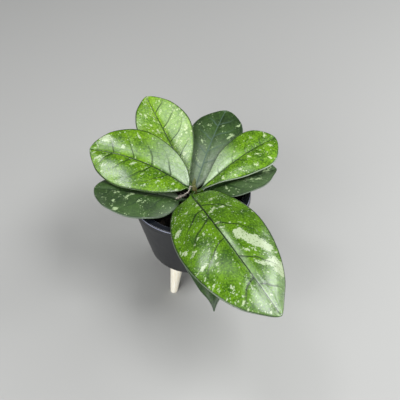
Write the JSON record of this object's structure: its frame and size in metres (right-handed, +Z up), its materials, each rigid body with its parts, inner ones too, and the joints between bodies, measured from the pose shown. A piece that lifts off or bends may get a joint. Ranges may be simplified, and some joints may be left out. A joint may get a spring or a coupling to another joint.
{
  "type": "potted splash hoya",
  "caption": "Young variegated hoya with broad waxy leaves in a small round planter on short splayed wooden legs.",
  "frame": {"origin": "on the floor under the middle of the whole plant's outline; the planter's axis is 4.0 mm to +X and 17.1 mm to +Y of it", "axes": "+Z up; +X to the right and +Y away from the viewer as the plant is pictured, so the longest leaf points to -Y"},
  "size_m": [0.1448, 0.1994, 0.1126],
  "materials": {
    "pot": "dark charcoal plastic with a soft satin shine",
    "legs": "pale wood, turned and sanded, clear matt finish",
    "soil": "dark damp bark and peat mix, rough",
    "stem": "olive-brown young stem, matt",
    "leaf_green": "waxy mid-green leaf with pale splashes",
    "leaf_young_green": "waxy yellow-green leaf with pale specks",
    "leaf_dark_green": "waxy dark-green leaf with pale specks",
    "root": "dry pale brown root, matt"
  },
  "bodies": {
    "root": {"pot": "pot", "leg_front_left": "legs", "leg_right": "legs", "leg_rear": "legs", "soil": "soil", "stem": "stem", "leaf_front": "leaf_green", "leaf_rear_left": "leaf_young_green", "leaf_left": "leaf_green", "leaf_right": "leaf_young_green", "leaf_left_low": "leaf_dark_green", "leaf_right_low": "leaf_dark_green", "leaf_rear": "leaf_dark_green", "leaf_front_low": "leaf_dark_green", "aerial_root": "root"}
  },
  "joints": []
}
